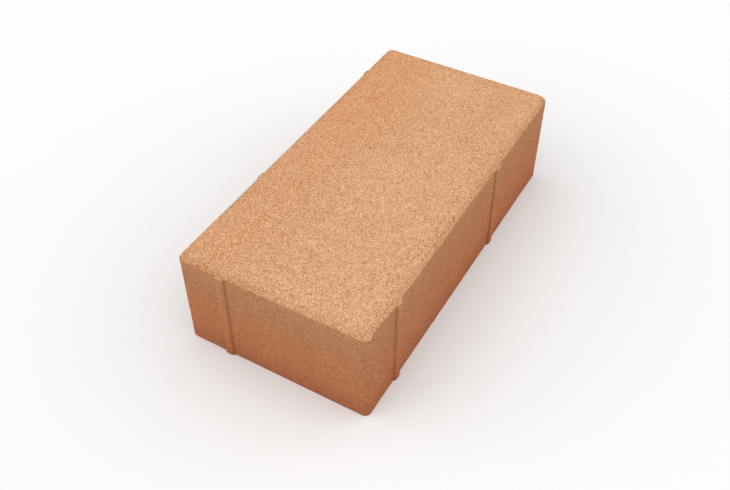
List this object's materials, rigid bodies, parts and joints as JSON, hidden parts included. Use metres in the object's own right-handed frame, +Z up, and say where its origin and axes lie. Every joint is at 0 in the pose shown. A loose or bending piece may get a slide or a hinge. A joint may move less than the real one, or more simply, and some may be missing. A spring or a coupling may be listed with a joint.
{
  "type": "paving stone",
  "caption": "Rectangular pressed-concrete paving stone with a bevelled walking face, rounded upright corners and upright spacer nibs on its sides, lying on its bed face.",
  "frame": {"origin": "centre of the flat bed face, on the level that the stone lies on", "axes": "+X along the length, +Y across the width, +Z up through the walking face"},
  "size_m": [0.2026, 0.1024, 0.0555],
  "materials": {
    "concrete": "matte"
  },
  "bodies": {
    "root": {"paving_stone": "concrete"}
  },
  "joints": []
}
